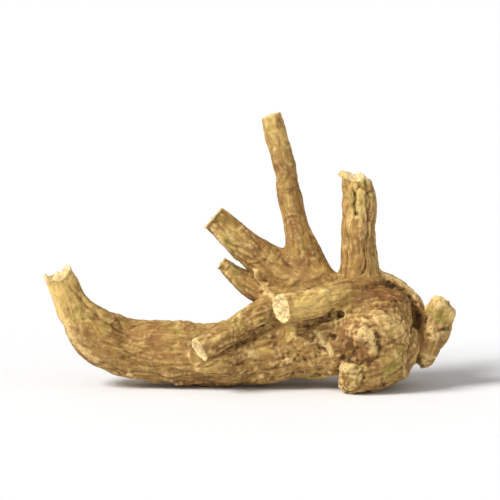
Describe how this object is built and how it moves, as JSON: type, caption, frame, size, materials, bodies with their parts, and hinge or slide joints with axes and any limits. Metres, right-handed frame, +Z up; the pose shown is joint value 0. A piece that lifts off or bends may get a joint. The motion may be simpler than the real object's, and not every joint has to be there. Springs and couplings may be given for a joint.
{
  "type": "ginseng root",
  "caption": "Dried ginseng root lying on its belly: curled tapering taproot, swollen head, knotty neck, and branch roots cut short",
  "frame": {"origin": "middle of the root's footprint, on the surface it lies on", "axes": "+X along the taproot from the curled tail to the neck, -Y towards the front, +Z up"},
  "size_m": [0.0724, 0.0282, 0.0481],
  "materials": {
    "root_skin": "matte, wrinkled"
  },
  "bodies": {
    "root": {"ginseng_root": "root_skin"}
  },
  "joints": []
}
